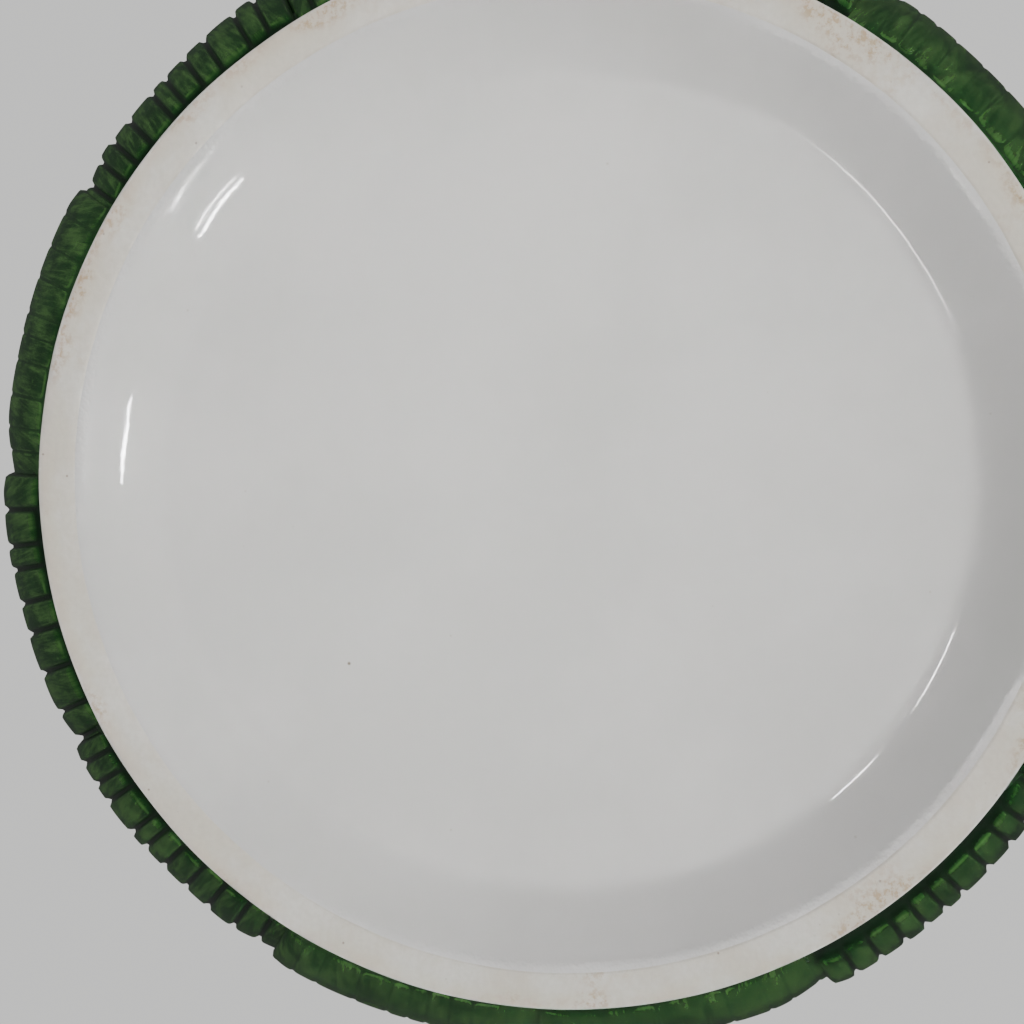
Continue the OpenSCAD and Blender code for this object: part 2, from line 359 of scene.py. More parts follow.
def white_glaze(name, tint=(0.680, 0.674, 0.650), specks=True, beads=False):
    """Clear glaze over a white casting: faint clouding, pinhole specks and a gently uneven gloss.

    beads adds a fine grain to the glaze's edge beside the foot's dry band."""
    g = Graph(name)
    place = g.place()
    cloud = g.noise(place, 28.0, 4.0, 0.55)
    darker = tuple(c * f for c, f in zip(tint, (0.93, 0.935, 0.93)))
    colour = g.blend(g.band(cloud, 0.35, 0.68), rgb(*darker), rgb(*tint))
    if specks:
        spots = g.cells(place, 62.0)
        dot = g.band(spots["Distance"], 0.016, 0.034, 1.0, 0.0)
        chosen = g.band(g.split(spots["Color"])[0], 0.70, 0.74)
        colour = g.blend(g.product(dot, chosen), colour, rgb(0.20, 0.16, 0.11))
        fine = g.cells(place, 210.0)
        pin = g.band(fine["Distance"], 0.03, 0.07, 0.35, 0.0)
        rare = g.band(g.split(fine["Color"])[1], 0.80, 0.84)
        colour = g.blend(g.product(pin, rare), colour, rgb(0.40, 0.35, 0.27))
    g.set(Base_Color=colour, IOR=1.52)
    g.set(Roughness=g.band(g.noise(place, 60.0, 2.0), 0.3, 0.7, 0.03, 0.055))
    slow = g.noise(place, 22.0, 2.0, 0.5)
    orange_peel = g.noise(place, 330.0, 2.0, 0.5)
    normal = g.bump(orange_peel, 0.08, 0.12 * MM, g.bump(slow, 0.35, 1.2 * MM))
    if beads:
        near_edge = g.band(g.radius(place), FOOT_IN_R - 1.6 * MM, FOOT_IN_R - 0.9 * MM)
        underneath = g.band(g.split(place)[2], FOOT_H, 3 * MM)
        grains = g.math("SUBTRACT", g.noise(place, 1100.0, 1.0, 0.5), 0.5)
        normal = g.bump(g.product(near_edge, underneath, grains), 1.0, 0.16 * MM, normal)
    g.set(Normal=normal)
    return g.material


def bisque(name):
    """Bare fired clay: bone, tan and rusty towards the outside, a painted highlight as a pale line at the
    very edge, pitted.
    """
    g = Graph(name)
    place = g.place()
    patch = g.noise(place, 55.0, 5.0, 0.6)
    colour = g.blend(g.band(patch, 0.40, 0.64), rgb(0.635, 0.600, 0.510), rgb(0.700, 0.688, 0.625))
    grain = g.noise(place, 900.0, 3.0, 0.6)
    colour = g.blend(g.band(grain, 0.30, 0.70, 0.0, 0.30), colour, rgb(0.53, 0.50, 0.43))
    radius = g.radius(place)
    near_outside = g.band(radius, FOOT_R - 4.5 * MM, FOOT_R - 1.2 * MM)
    tan_patch = g.band(g.noise(place, 75.0, 3.0, 0.6), 0.38, 0.62)
    colour = g.blend(g.product(near_outside, tan_patch, 0.45), colour, rgb(0.585, 0.520, 0.385))
    rust_cloud = g.math("ADD", g.noise(place, 30.0, 3.0, 0.6), g.product(near_outside, 0.10))
    rust_grain = g.band(g.noise(place, 640.0, 4.0, 0.7), 0.44, 0.62)
    rust = g.product(g.band(rust_cloud, 0.56, 0.71), rust_grain, 0.80)
    colour = g.blend(rust, colour, rgb(0.43, 0.29, 0.15))
    # painted highlight: a pale line on the foot's outer rounding, painted where that edge would catch the
    # light
    painted_edge_highlight = g.band(radius, FOOT_R - 0.9 * MM, FOOT_R - 0.4 * MM)
    colour = g.blend(g.product(painted_edge_highlight, 0.7), colour, rgb(0.74, 0.73, 0.69))
    pits = g.cells(place, 520.0)
    chosen = g.band(g.split(pits["Color"])[0], 0.86, 0.90)
    pit = g.product(g.band(pits["Distance"], 0.05, 0.16, 1.0, 0.0), chosen)
    colour = g.blend(g.product(pit, 0.7), colour, rgb(0.24, 0.18, 0.13))
    g.set(Base_Color=colour, Roughness=g.band(grain, 0.3, 0.7, 0.55, 0.80))
    g.set(Specular_IOR_Level=0.35)
    height = g.math("SUBTRACT", grain, g.product(pit, 1.5))
    g.set(Normal=g.bump(height, 0.35, 0.15 * MM))
    return g.material


def leaf_glaze(name, groove, middle, light):
    """Brushed green glaze that pools dark in the grooves, with lighter brush strokes over the ribs and
    painted highlights on the ribs' tops and along the grooves' edges.

    The mesh's stroke attribute runs across and along the leaf in metres, its groove is 1 in a groove."""
    g = Graph(name)
    stroke = g.attribute("stroke", "Vector")
    depth = g.attribute("groove")
    place = g.place()
    long_strokes = g.noise(g.scaled(stroke, (1.0, 0.10, 1.0)), 1500.0, 3.0, 0.6)
    wide_strokes = g.noise(g.scaled(stroke, (1.0, 0.22, 1.0)), 420.0, 4.0, 0.6, 0.4)
    cloud = g.noise(place, 70.0, 4.0, 0.6)
    brushed = g.math("ADD", g.product(long_strokes, 0.45), g.product(wide_strokes, 0.55))
    lift = g.band(g.math("ADD", brushed, g.product(cloud, 0.35)), 0.58, 0.84)
    top_of_rib = g.band(depth, 0.05, 0.45, 1.0, 0.0)
    lift = g.product(lift, g.math("ADD", g.product(top_of_rib, 0.75), 0.25))
    colour = g.blend(g.band(cloud, 0.35, 0.70), rgb(*[c * 0.72 for c in middle]), rgb(*middle))
    colour = g.blend(lift, colour, rgb(*light))
    # painted highlight: pale flecks on the ribs' tops, where the glaze would catch the light
    thin = g.product(g.band(g.noise(place, 260.0, 3.0, 0.7), 0.62, 0.78), top_of_rib, 0.45)
    colour = g.blend(thin, colour, rgb(*[c * 1.7 for c in light]))
    # painted highlight: light streaks on the ribs' edges beside the grooves, where the edges would catch the
    # light
    beside_groove = g.product(g.band(depth, 0.02, 0.16), g.band(depth, 0.20, 0.40, 1.0, 0.0))
    painted_groove_edge_highlight = g.product(beside_groove, g.band(g.noise(place, 180.0, 2.0), 0.45, 0.65), 0.55)
    colour = g.blend(painted_groove_edge_highlight, colour, rgb(*[c * 1.35 for c in light]))
    fresh = g.band(g.split(stroke)[1], 0.025, 0.095, 0.0, 0.55)
    colour = g.blend(fresh, colour, rgb(2.0, 1.75, 1.25), "MULTIPLY")
    colour = g.blend(g.band(depth, 0.30, 0.85), colour, rgb(*groove))
    g.set(Base_Color=colour, IOR=1.52)
    g.set(Roughness=g.band(brushed, 0.3, 0.7, 0.12, 0.26))
    ripple = g.bump(long_strokes, 0.22, 0.22 * MM)
    g.set(Normal=g.bump(g.noise(place, 160.0, 2.0), 0.18, 0.6 * MM, ripple))
    return g.material


def plain_green(name, dark, light):
    """Green glaze on smooth pieces, with brush marks that follow the round."""
    g = Graph(name)
    place = g.place()
    stretched = g.scaled(place, (1.0, 1.0, 2.4))
    strokes = g.noise(stretched, 240.0, 4.0, 0.6, 0.5)
    cloud = g.noise(place, 45.0, 3.0, 0.6)
    amount = g.band(g.math("ADD", g.product(strokes, 0.6), g.product(cloud, 0.5)), 0.44, 0.72)
    g.set(Base_Color=g.blend(amount, rgb(*dark), rgb(*light)), IOR=1.52)
    g.set(Roughness=g.band(cloud, 0.3, 0.7, 0.22, 0.34))
    g.set(Normal=g.bump(strokes, 0.2, 0.3 * MM))
    return g.material


WHITE = white_glaze("white_glaze")
BOWL_WHITE = white_glaze("bowl_glaze", beads=True)
RIM_WHITE = white_glaze("rim_glaze", (0.76, 0.752, 0.715), specks=False)
BISQUE = bisque("dry_foot")
DARK_GREEN = plain_green("dark_green", (0.004, 0.024, 0.006), (0.012, 0.062, 0.014))
LEAF_GREEN = leaf_glaze("leaf_green", (0.003, 0.018, 0.005), (0.014, 0.070, 0.016), (0.074, 0.182, 0.045))
LID_GREEN = leaf_glaze("lid_leaf_green", (0.004, 0.021, 0.006), (0.014, 0.070, 0.016), (0.078, 0.185, 0.046))
STEM_GREEN = leaf_glaze("stem_green", (0.006, 0.030, 0.006), (0.034, 0.130, 0.018), (0.120, 0.265, 0.045))
BUD_GREEN = leaf_glaze("bud_green", (0.008, 0.040, 0.008), (0.052, 0.165, 0.024), (0.150, 0.300, 0.060))


def finish(piece, body, slot, *nodes):
    """Says which body the piece rides on and the nodes that it stands for; slot is not used."""
    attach(piece, body)
    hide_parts(*nodes)


# ---------------------------------------------------------------- the white bowl and its foot
def bowl_body():
    """The casting: base, cove down to the glaze's wavering edge, wall and floor."""
    rng = np.random.default_rng(11)
    ripple = waves(rng, 7, 2, 9)
    edge_wave = waves(rng, 16, 9, 70)
    # radii at which the cove starts, is nearly and fully steep, eases off and ends
    cove_start = FOOT_IN_R - 13.6 * MM
    cove_knee = FOOT_IN_R - 9.0 * MM
    cove_turn = FOOT_IN_R - 3.6 * MM
    cove_roll = FOOT_IN_R - 1.4 * MM
    cove_end = FOOT_IN_R + 0.3 * MM
    cove_low = 0.30 * MM
    profile = line((AXIS_R, BASE_Z), (cove_start - 1 * MM, BASE_Z), 26)
    radii = np.linspace(cove_start, cove_end, 52)
    slope = 0.68 * smooth(cove_start, cove_knee, radii) + 0.32 * smooth(cove_start, cove_turn, radii)
    slope = slope * (0.12 + 0.88 * smooth(cove_end, cove_roll, radii))
    drop = np.concatenate([[0], np.cumsum((slope[1:] + slope[:-1]) / 2)])
    profile += list(zip(radii, BASE_Z - (BASE_Z - cove_low) * drop / drop[-1]))
    edge_start = len(profile)
    profile += arc(cove_end, cove_low + 0.12 * MM, 0.4 * MM, 0.12 * MM, 280, 360, 6)
    edge_end = len(profile)
    profile += [(FOOT_IN_R + 0.8 * MM, 2 * MM), (FOOT_IN_R + 0.8 * MM, FOOT_H)]
    outer_low = float(body_r(FOOT_H)) - LEAF_T
    profile += line((outer_low - 1 * MM, FOOT_H), (outer_low, FOOT_H), 2)
    for z in np.linspace(FOOT_H, RIM_Z, 70)[1:]:
        profile.append((float(body_r(z)) - LEAF_T, z))
    fillet_top = FLOOR_Z + 16 * MM
    inner = [(float(body_r(z)) - LEAF_T - WALL_T, z) for z in np.linspace(RIM_Z, fillet_top, 60)]
    profile += inner
    corner_r = inner[-1][0]
    profile += arc(corner_r - 20 * MM, fillet_top, 20 * MM, 16 * MM, -4, -90, 22)
    profile += line((corner_r - 22 * MM, FLOOR_Z), (AXIS_R, FLOOR_Z), 16)
    rows = np.arange(len(profile))[:, None]
    on_edge = ((rows >= edge_start) & (rows < edge_end)) * 1.0
    under = (rows < edge_start) * 1.0

    def move(r, z, a):
        r = r + on_edge * 0.12 * MM * edge_wave(a)
        z = z - 0.05 * MM * edge_wave(a + 0.4) * smooth(FOOT_IN_R - 2 * MM, FOOT_IN_R, r) * (z < 1 * MM)
        sag = 0.30 * MM * ripple(a) * smooth(10 * MM, 50 * MM, r) * smooth(FOOT_IN_R, FOOT_IN_R - 30 * MM, r)
        return r, z + under * sag

    piece = lathe("bowl_body", profile, 360, BOWL_WHITE, move, closed=False)
    finish(piece, "tureen", "white_glaze", "bowl_wall", "bowl_base", "base_cove")


def foot_band():
    """The dry ring: a nearly flat resting face, softly rounded at both edges."""
    rng = np.random.default_rng(12)
    wobble = waves(rng, 9, 3, 24)
    inner = FOOT_IN_R
    profile = [(inner, FOOT_H), (inner, 0.8 * MM)]
    profile += [(inner + 0.1 * MM, 0.45 * MM), (inner + 0.3 * MM, 0.26 * MM)]
    profile += arc(inner + 2.1 * MM, 0.16 * MM, 1.6 * MM, 0.15 * MM, 190, 268, 9)
    profile += line((inner + 2.4 * MM, 0.01 * MM), (FOOT_R - 1.2 * MM, 0.01 * MM), 9)
    profile += arc(FOOT_R - 0.7 * MM, 0.6 * MM, 0.7 * MM, 0.59 * MM, 278, 360, 9)
    bare_rows = len(profile)
    profile += [(FOOT_R, 0.8 * MM), (FOOT_R - 0.05 * MM, 1.3 * MM), (FOOT_R, 2.0 * MM), (FOOT_R, FOOT_H)]

    def move(r, z, a):
        low = smooth(3 * MM, 0.5 * MM, z)
        r = r + low * 0.14 * MM * (wobble(a) - 1.0) * smooth(inner + 3 * MM, FOOT_R, r)
        return r, np.maximum(z + low * 0.05 * MM * wobble(a + 1.0), 0.0)

    segments = 540
    piece = lathe("foot_band", profile, segments, BISQUE, move)
    piece.data.materials.append(DARK_GREEN)
    slots = np.zeros((len(profile), segments), np.int32)
    slots[bare_rows:len(profile) - 1] = 1
    piece.data.polygons.foreach_set("material_index", slots.ravel())
    finish(piece, "tureen", "dry_foot", "foot_ring")


def collar_band():
    """The smooth green band that the leaf stalks stand on."""
    rng = np.random.default_rng(13)
    wobble = waves(rng, 12, 6, 60)
    high = COLLAR_Z + 6 * MM
    profile = [(float(body_r(z)) - 0.3 * MM, z) for z in np.linspace(FOOT_H, high, 14)]
    profile += [(float(body_r(high)) - LEAF_T, high), (float(body_r(FOOT_H)) - LEAF_T, FOOT_H)]

    def move(r, z, a):
        front = r > body_r(z) - 2 * MM
        sunk = 1.4 * MM * smooth(FOOT_H + 1 * MM, COLLAR_Z + 1 * MM, z)
        return r - (sunk + 0.2 * MM * (1 + wobble(a + 40 * z))) * front, z

    piece = lathe("collar_band", profile, 540, DARK_GREEN, move)
    finish(piece, "tureen", "dark_green", "foot_collar")


def rim_lip():
    """The plain lip of the bowl, with rounded edges."""
    outer_r = float(body_r(RIM_Z)) - LEAF_T
    inner_r = outer_r - WALL_T
    edge = 2.0 * MM
    profile = line((outer_r, RIM_Z), (RIM_R - 0.4 * MM, RIM_Z + 2.4 * MM), 6)
    profile += arc(RIM_R - edge, RIM_Z + 5 * MM, edge, edge * 1.2, -30, 0, 5)
    profile += arc(RIM_R - edge, BOWL_H - edge, edge, edge, 8, 90, 8)
    profile += line((RIM_R - edge - 1 * MM, BOWL_H), (RIM_IN_R + edge + 0.5 * MM, BOWL_H), 4)
    profile += arc(RIM_IN_R + edge, BOWL_H - edge, edge, edge, 90, 180, 8)
    profile += line((RIM_IN_R, BOWL_H - 3 * MM), (RIM_IN_R + 0.2 * MM, RIM_Z + 3 * MM), 4)
    profile += line((RIM_IN_R + 0.6 * MM, RIM_Z + 2 * MM), (inner_r, RIM_Z), 4)
    piece = lathe("rim_lip", profile, 384, RIM_WHITE)
    finish(piece, "tureen", "rim_glaze", "bowl_rim")


# ---------------------------------------------------------------- leaves
def leaf_relief(rng, ribs, across, along, half_width, length, spec):
    """Height of the ribs, and depth of the grooves from 0 to 1, at across (-1..1) and along (metres).

    spec: rib_h and groove_w are the ribs' height and the grooves' width, groove_dark how dark a groove is,
    sway how far the ribs bend, foot_* how their lower ends start, fade(t) the relief along the leaf."""
    widths = rng.uniform(0.62, 1.38, ribs)
    edges = np.concatenate([[-1.0], np.cumsum(widths) / widths.sum() * 2 - 1])
    sway = spec["sway"] * np.sin(along / length * 2.2 + rng.uniform(0, 6)) * (1 - across ** 2)
    q = np.clip(across + sway, -0.9999, 0.9999)
    index = np.clip(np.searchsorted(edges, q.ravel(), side="right") - 1, 0, ribs - 1).reshape(q.shape)
    left = edges[index]
    right = edges[index + 1]
    to_groove = np.minimum(q - left, right - q) * half_width
    rib_half = (right - left) / 2 * half_width
    groove_w = np.minimum(spec["groove_w"], rib_half * 0.6)
    wall = smooth(0.15, 1.0, to_groove / groove_w)
    crown = 1 - (1 - np.clip(to_groove / rib_half, 0, 1)) ** 3
    start = rng.uniform(0.0, spec["foot_spread"], ribs)[index] + spec["foot_start"]
    tall = rng.uniform(0.75, 1.15, ribs)[index]
    round_end = spec["foot_round"] * (1 - np.sqrt(np.clip(crown, 0, 1)))
    rise = smooth(0.0, spec["foot_ramp"], along - start - round_end)
    fade = spec["fade"](along / length)
    height = spec["rib_h"] * tall * fade * rise * wall * (0.80 + 0.20 * crown)
    depth = np.clip(1 - wall * rise, 0, 1) * np.clip(fade * 1.4, 0, 1)
    return height, depth * spec.get("groove_dark", 1.0)


def leaf_mesh(name, material, columns, rows, outline, place, relief, thickness, length, edge_round):
    """A closed leaf: a relief front, a smooth back, and a rounded rim between them.

    v runs up the leaf from 0 to 1 and across from -1 to 1; outline(v) is the half width in metres,
    thickness(across, v) the depth of the back and place(across, v, h) the point at height h."""
    across, v = np.meshgrid(np.linspace(-1, 1, columns), rows)
    half = outline(v)
    along = v * length
    height, depth = relief(across, v, along, half)
    to_edge = np.minimum((1 - np.abs(across)) * half, (along.max() - along) * 1.2)
    t = np.clip(to_edge / edge_round, 0, 1)
    drop = edge_round * (1 - np.sqrt(np.clip(1 - (1 - t) ** 2, 0, 1)))
    thick = thickness(across, v)
    front = place(across, v, height - np.minimum(drop, thick * 0.9))
    back = place(across, v, -thick)
    n = v.size
    points = np.concatenate([front.reshape(-1, 3), back.reshape(-1, 3)])
    faces = grid_faces(len(rows), columns)
    faces += [tuple(reversed([i + n for i in f])) for f in grid_faces(len(rows), columns)]
    ring = list(range(columns))
    ring += [i * columns + columns - 1 for i in range(1, len(rows))]
    ring += [(len(rows) - 1) * columns + j for j in range(columns - 2, -1, -1)]
    ring += [i * columns for i in range(len(rows) - 2, 0, -1)]
    faces += [(a, n + a, n + b, b) for a, b in zip(ring, ring[1:] + ring[:1])]
    # shifts the brush strokes, so that they differ from leaf to leaf
    own_strokes = sum(ord(c) * (k + 1) for k, c in enumerate(name)) % 97 * 0.013
    stroke = np.stack([across * half, along, np.full_like(across, own_strokes)], -1).reshape(-1, 3)
    stroke = np.concatenate([stroke, stroke])
    grooves = np.concatenate([depth.ravel(), np.full(n, 0.5)])
    return add_object(name, points, faces, {"stroke": stroke, "groove": grooves}, [material])


# Degrees, metres and leaf numbers: some leaves are nearly smooth, and on one the ribs start higher.
LEAF_SPAN = 360 / LEAVES
LEAF_OVERLAP = 1.2
WALL_LEAF_START = COLLAR_Z - 1 * MM
SMOOTH_LEAVES = (2, 6, 7, 10)
HIGH_ROOTED_LEAVES = (5,)


def wall_leaf(i):
    """One upright leaf of the bowl. Each lies over the next one's edge, like a shingle."""
    rng = np.random.default_rng(100 + i)
    length = LEAF_TIP_Z - WALL_LEAF_START
    shoulder = 1 - LEAF_ARCH_H / length
    middle = math.radians(LEAF_SPAN * (i - 0.5)) + math.radians(rng.uniform(-0.7, 0.7))
    half_angle = math.radians(LEAF_SPAN / 2 + LEAF_OVERLAP)
    flat = i in SMOOTH_LEAVES
    ribs = int(rng.integers(9, 12))
    edge_wave = rng.uniform(0, 6, 4)
    tip_curl = rng.uniform(2.4, 3.6) * MM
    root = 3.0 * MM if i in HIGH_ROOTED_LEAVES else 0.2 * MM
    spec = {
        "rib_h": (0.4 if flat else 1.5) * MM,
        "groove_w": (0.6 if flat else 0.95) * MM,
        "groove_dark": 0.5 if flat else 1.0,
        "sway": 0.03,
        "foot_start": root,
        "foot_spread": (0.6 if flat else 2.2) * MM,
        "foot_ramp": 1.6 * MM,
        "foot_round": 1.4 * MM,
        "fade": lambda t: 1 - 0.48 * smooth(0.12, 0.42, t),
    }

    def narrowing(v):
        t = np.clip((v - shoulder) / (1 - shoulder), 0, 1)
        return np.maximum((1 - t ** 2.1) ** 0.72, 0.03)

    def z_of(v):
        return WALL_LEAF_START + length * v

    def outline(v):
        return body_r(z_of(v)) * half_angle * narrowing(v)

    def relief(across, v, along, half):
        height, depth = leaf_relief(rng, ribs, across, along, half, length, spec)
        tucked = -2.3 * MM * smooth(-0.45, -1.0, across) ** 1.2
        proud = 0.6 * MM * smooth(-0.2, 0.9, across) - 0.5 * MM * smooth(0.86, 1.0, across)
        midrib = 0.5 * MM * np.exp(-(across * half / (2.0 * MM)) ** 2) * smooth(0.3, 0.6, v)
        return height + tucked + proud + midrib - 0.75 * spec["rib_h"], depth

    def lift(across, v):
        t = smooth(shoulder - 0.05, 1.0, v)
        ripple = 0.9 * MM * np.sin(v * 34 + edge_wave[0] + 2 * across) * np.abs(across) ** 3 * t
        return tip_curl * t ** 1.6 + ripple

    def place(across, v, height):
        z = z_of(v)
        wander = 0.6 * MM * np.sin(v * 21 + edge_wave[1]) * np.abs(across) ** 4 * smooth(0.5, 0.8, v)
        r = np.minimum(body_r(z) + height + lift(across, v), BELLY_R - 0.15 * MM)
        angle = middle + across * half_angle * narrowing(v) + wander / BELLY_R
        z = z + 0.8 * MM * np.sin(across * 9 + edge_wave[2]) * smooth(0.75, 1.0, v)
        return np.stack([r * np.cos(angle), r * np.sin(angle), z], -1)

    def thickness(across, v):
        free = smooth(shoulder - 0.12, shoulder + 0.12, v)
        return mix(LEAF_T + 0.4 * MM, 3.9 * MM, free)

    low = np.linspace(0, 0.34, 64, endpoint=False)
    high = np.linspace(0.34, 1, 58)
    piece = leaf_mesh(
        f"bowl_leaf_{i:02d}", LEAF_GREEN, 132, np.concatenate([low, high]),
        outline, place, relief, thickness, length, 0.9 * MM,
    )
    finish(piece, "tureen", "leaf_green", f"wall_leaf_{i:02d}")


def dome_point(r_axis, h_axis, angle, turn):
    """A point on the lid's dome: angle climbs from the seat to the top, turn goes round."""
    r = r_axis * np.cos(angle)
    return np.stack([r * np.cos(turn), r * np.sin(turn), SEAT_Z + h_axis * np.sin(angle)], -1)


def lid_leaf(i):
    """One leaf of the lid, from under the knob's collar to just inside the brim."""
    rng = np.random.default_rng(200 + i)
    span = 360 / LID_LEAVES
    middle = math.radians(span * (i - 0.5)) + math.radians(rng.uniform(-0.5, 0.5))
    half_angle = math.radians(span / 2 + 1.6)
    a_top = math.acos((KNOB_R - 3 * MM) / SHELL_DOME_R)
    a_low = math.asin((BRIM_T + 0.6 * MM) / SHELL_DOME_H)
    length = 105 * MM
    ribs = int(rng.integers(8, 11))
    phase = rng.uniform(0, 6, 3)
    spec = {
        "rib_h": 1.1 * MM,
        "groove_w": 1.1 * MM,
        "sway": 0.03,
        "foot_start": -4 * MM,
        "foot_spread": 0.5 * MM,
        "foot_ramp": 2.0 * MM,
        "foot_round": 0.5 * MM,
        "fade": lambda t: smooth(0.0, 0.35, t) * (1 - 0.35 * smooth(0.6, 1.0, t)),
    }

    def narrowing(v):
        t = np.clip((v - 0.70) / 0.30, 0, 1)
        return np.maximum((1 - t ** 2.2) ** 0.62, 0.03)

    def angle_of(v):
        return a_top + (a_low - a_top) * v

    def outline(v):
        return SHELL_DOME_R * np.cos(angle_of(v)) * half_angle * narrowing(v)

    def relief(across, v, along, half):
        height, depth = leaf_relief(rng, ribs, across, along, half, length, spec)
        crown = -1.1 * MM * np.abs(across) ** 3
        midrib = 0.4 * MM * np.exp(-(across * half / (1.8 * MM)) ** 2) * smooth(0.1, 0.4, v)
        return height + crown + 0.5 * MM * across + midrib + 0.9 * MM, depth

    def place(across, v, height):
        h = height + 0.5 * MM * np.sin(v * 30 + phase[0]) * np.abs(across) ** 3 * smooth(0.5, 0.8, v)
        turn = middle + across * half_angle * narrowing(v)
        angle = angle_of(v) + 0.008 * np.sin(across * 8 + phase[1]) * smooth(0.8, 1.0, v)
        h = np.minimum(h, LID_LEAF_T - 0.05 * MM)
        return dome_point(SHELL_DOME_R + h, SHELL_DOME_H + h, angle, turn)

    def thickness(across, v):
        return np.full_like(v, 0.6 * MM)

    piece = leaf_mesh(
        f"dome_leaf_{i:02d}", LID_GREEN, 112, np.linspace(0, 1, 96),
        outline, place, relief, thickness, length, 0.8 * MM,
    )
    if i in (1, LID_LEAVES):
        cut_notch(piece, 0.6 * MM)
    finish(piece, "lid", "lid_leaf_green", f"lid_leaf_{i:02d}")


# ---------------------------------------------------------------- lid
def lid_dome():
    """The white dome and brim, with the ladle's notch."""
    outer_low = math.degrees(math.asin((BRIM_T + 1.2 * MM) / SHELL_DOME_H))
    profile = arc(0, SEAT_Z, SHELL_DOME_R, SHELL_DOME_H, 89.9, outer_low, 48)
    foot_r = SHELL_DOME_R * math.cos(math.radians(outer_low)) + 1.6 * MM
    profile += [(foot_r - 0.8 * MM, SEAT_Z + BRIM_T + 0.4 * MM), (foot_r, SEAT_Z + BRIM_T)]
    profile += line((foot_r + 1 * MM, SEAT_Z + BRIM_T), (RIM_R - 2 * MM, SEAT_Z + BRIM_T), 4)
    profile += arc(RIM_R - 1.9 * MM, SEAT_Z + BRIM_T / 2, 1.9 * MM, BRIM_T / 2, 80, -90, 12)
    profile += line((RIM_R - 3 * MM, SEAT_Z), (SHELL_DOME_R - LID_T + 1 * MM, SEAT_Z), 6)
    profile += arc(0, SEAT_Z, SHELL_DOME_R - LID_T, SHELL_DOME_H - LID_T, 0.5, 89.9, 40)
    piece = lathe("lid_dome", profile, 320, WHITE, closed=False)
    cut_notch(piece, 0.0, 0.7 * MM)
    finish(piece, "lid", "white_glaze", "lid_shell")


def lid_locating_ring():
    """The ring under the brim, open where the notch is."""
    low = bottom("lid_flange")[2]
    inner = FLANGE_R - FLANGE_T
    edge = 1.2 * MM
    profile = [(FLANGE_R, SEAT_Z + 0.3 * MM), (FLANGE_R, SEAT_Z - 2 * MM)]
    profile += arc(FLANGE_R - edge, low + edge, edge, edge, 0, -90, 7)
    profile += arc(inner + edge, low + edge, edge, edge, -90, -180, 7)
    profile += [(inner, SEAT_Z - 2 * MM), (inner, SEAT_Z + 0.3 * MM)]
    piece = lathe("lid_locating_ring", list(reversed(profile)), 320, WHITE)
    cut_notch(piece, 0.0, 0.5 * MM)
    finish(piece, "lid", "white_glaze", "lid_flange")


def knob_calyx():
    """The scalloped disc under the bud."""
    neck = BUD_R / 2
    low = SEAT_Z + SHELL_DOME_H
    profile = [(AXIS_R, low - 1.5 * MM), (KNOB_R - 2 * MM, low - 3 * MM)]
    profile += arc(KNOB_R - 1.6 * MM, low + 0.4 * MM, 1.5 * MM, 1.5 * MM, -70, 70, 8)
    for t in np.linspace(0.1, 1, 12):
        profile.append((mix(KNOB_R - 2.2 * MM, neck, t ** 0.8), mix(low + 2.4 * MM, KNOB_Z, t ** 1.4)))
    profile += [(neck * 0.6, KNOB_Z), (AXIS_R, KNOB_Z)]

    def move(r, z, a):
        amount = smooth(neck, KNOB_R, r)
        scallop = np.abs(np.sin(4 * a)) ** 0.7
        return r * (1 - 0.13 * amount * (1 - scallop)), z - 0.9 * MM * amount * (1 - scallop)

    piece = lathe("knob_calyx", profile, 256, DARK_GREEN, move, closed=False)
    finish(piece, "lid", "dark_green", "knob_collar")


def bud_r(t):
    """Radius of the bud at t from 0 at its neck to 1 at its tip."""
    t = np.asarray(t, float)
    body = np.sin(np.pi * np.clip(t, 0, 1) ** 0.82) ** 0.72
    return (BUD_R - 1.2 * MM) * np.maximum(body * (1 - 0.10 * t), 0.02)


def bud_leaf(ring, k, count, turn, reach, out):
    """One of a ring's leaves: reach is how far up the bud it goes, out how far it stands off its core."""
    rng = np.random.default_rng(300 + 10 * ring + k)
    height = BUD_TOP - KNOB_Z
    middle = turn + 2 * math.pi * k / count
    half_angle = math.pi / count * 1.12
    spec = {
        "rib_h": 0.5 * MM,
        "groove_w": 0.7 * MM,
        "sway": 0.0,
        "foot_start": -2 * MM,
        "foot_spread": 0.1 * MM,
        "foot_ramp": 1 * MM,
        "foot_round": 0.1 * MM,
        "fade": lambda t: smooth(0.0, 0.2, t),
    }

    def narrowing(v):
        t = np.clip((v - 0.35) / 0.65, 0, 1)
        return np.maximum((1 - t ** 2) ** 0.8, 0.04)

    def up_bud(v):
        return 0.04 + (reach - 0.04) * v

    def outline(v):
        return bud_r(up_bud(v)) * half_angle * narrowing(v)

    def relief(across, v, along, half):
        rise, depth = leaf_relief(rng, 5, across, along, half, height, spec)
        return rise - 0.5 * MM * np.abs(across) ** 3, depth

    def place(across, v, h):
        curl = 0.5 * MM * smooth(0.8, 1.0, v)
        r = bud_r(up_bud(v)) + h + out * (0.35 + 0.65 * smooth(0, 0.3, v)) + curl
        angle = middle + across * half_angle * narrowing(v)
        return np.stack([r * np.cos(angle), r * np.sin(angle), KNOB_Z + height * up_bud(v)], -1)

    def thickness(across, v):
        return np.full_like(v, 1.0 * MM)

    return leaf_mesh(
        f"bud_leaf_{ring}_{k}", BUD_GREEN, 48, np.linspace(0, 1, 44),
        outline, place, relief, thickness, height, 0.5 * MM,
    )


